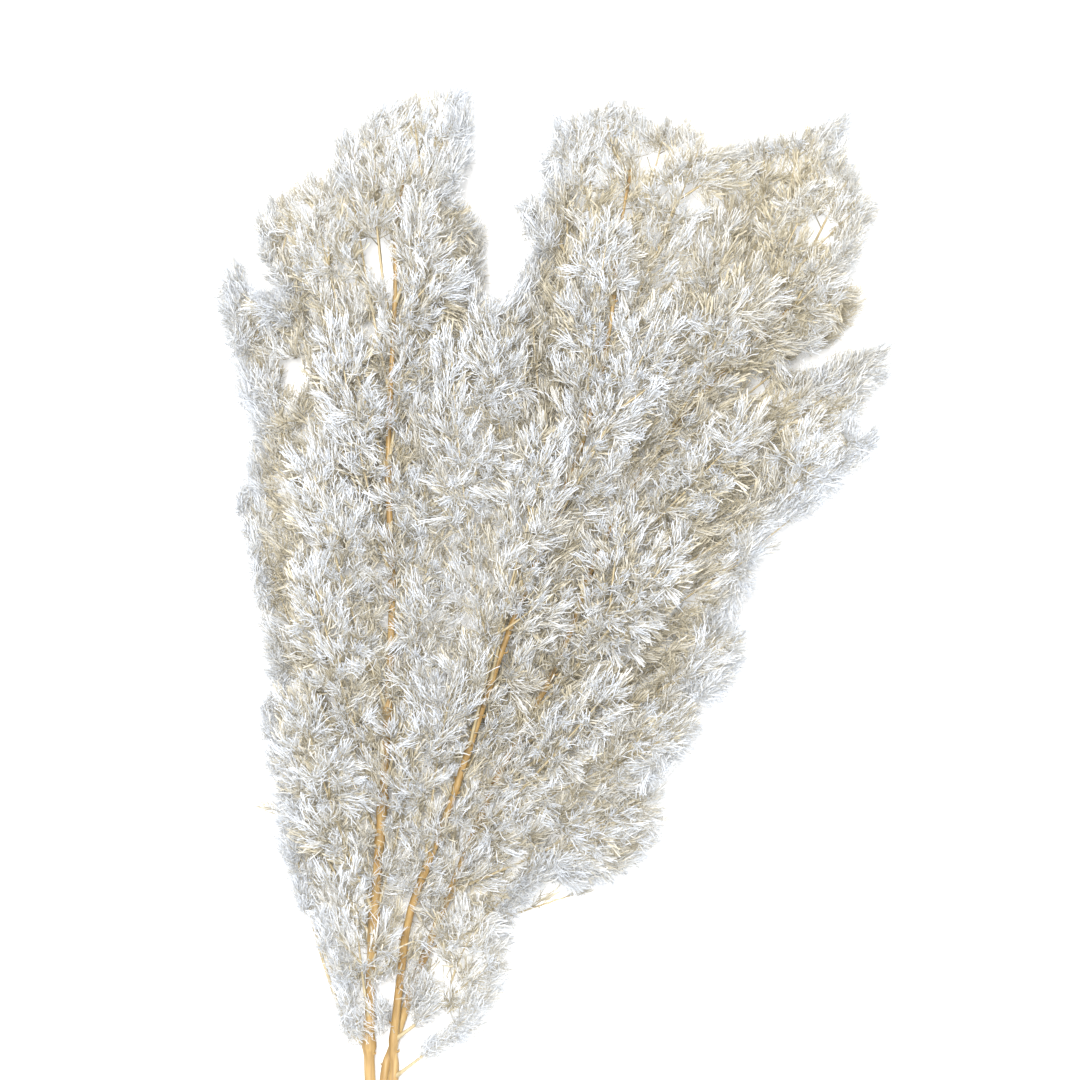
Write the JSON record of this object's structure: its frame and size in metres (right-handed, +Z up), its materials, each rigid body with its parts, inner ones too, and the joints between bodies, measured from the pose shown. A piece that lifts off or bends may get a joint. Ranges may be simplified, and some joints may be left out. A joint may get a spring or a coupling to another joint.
{
  "type": "preserved ming fern bunch",
  "caption": "Bunch of bleached, preserved ming fern lying flat: tan woody stems tied at the foot, forking into feathery sprays of fine white needles.",
  "frame": {"origin": "middle of the underside of the bunch's box, on the surface that it lies on", "axes": "+Y along the stems from the cut ends to the tips, +Z up out of the surface, +X to the right of one who looks down with the tips away from them"},
  "size_m": [0.4136, 0.6992, 0.1316],
  "materials": {
    "preserved_wood": "smooth golden tan bark, satin",
    "white_needles": "bleached white to cream needles, matte and slightly translucent",
    "cream_needles": "cream to pale grey needles, matte and slightly translucent",
    "natural_rubber": "plain tan elastic, matte"
  },
  "bodies": {
    "root": {"stem_left": "preserved_wood", "stem_middle": "preserved_wood", "stem_right": "preserved_wood", "spray_left_01": "cream_needles", "spray_left_02": "white_needles", "spray_left_03": "cream_needles", "spray_left_04": "white_needles", "spray_left_05": "white_needles", "spray_left_06": "cream_needles", "spray_left_07": "cream_needles", "spray_left_08": "white_needles", "spray_left_09": "white_needles", "spray_left_10": "cream_needles", "spray_left_11": "white_needles", "spray_left_12": "white_needles", "spray_left_13": "white_needles", "spray_left_14": "white_needles", "spray_left_15": "cream_needles", "spray_left_16": "cream_needles", "spray_left_17": "white_needles", "spray_left_18": "white_needles", "spray_left_19": "white_needles", "spray_left_20": "white_needles", "spray_left_21": "white_needles", "spray_left_22": "white_needles", "spray_middle_01": "white_needles", "spray_middle_02": "cream_needles", "spray_middle_03": "white_needles", "spray_middle_04": "cream_needles", "spray_middle_05": "white_needles", "spray_middle_06": "white_needles", "spray_middle_07": "white_needles", "spray_middle_08": "white_needles", "spray_middle_09": "white_needles", "spray_middle_10": "white_needles", "spray_middle_11": "cream_needles", "spray_middle_12": "cream_needles", "spray_middle_13": "white_needles", "spray_middle_14": "white_needles", "spray_middle_15": "white_needles", "spray_middle_16": "white_needles", "spray_middle_17": "white_needles", "spray_middle_18": "white_needles", "spray_right_01": "cream_needles", "spray_right_02": "white_needles", "spray_right_03": "white_needles", "spray_right_04": "white_needles", "spray_right_05": "white_needles", "spray_right_06": "cream_needles", "spray_right_07": "white_needles", "spray_right_08": "white_needles", "spray_right_09": "white_needles", "spray_right_10": "cream_needles", "spray_right_11": "white_needles", "spray_right_12": "white_needles", "spray_right_13": "cream_needles", "spray_right_14": "white_needles", "spray_right_15": "white_needles", "spray_right_16": "white_needles", "rubber_band": "natural_rubber"}
  },
  "joints": []
}
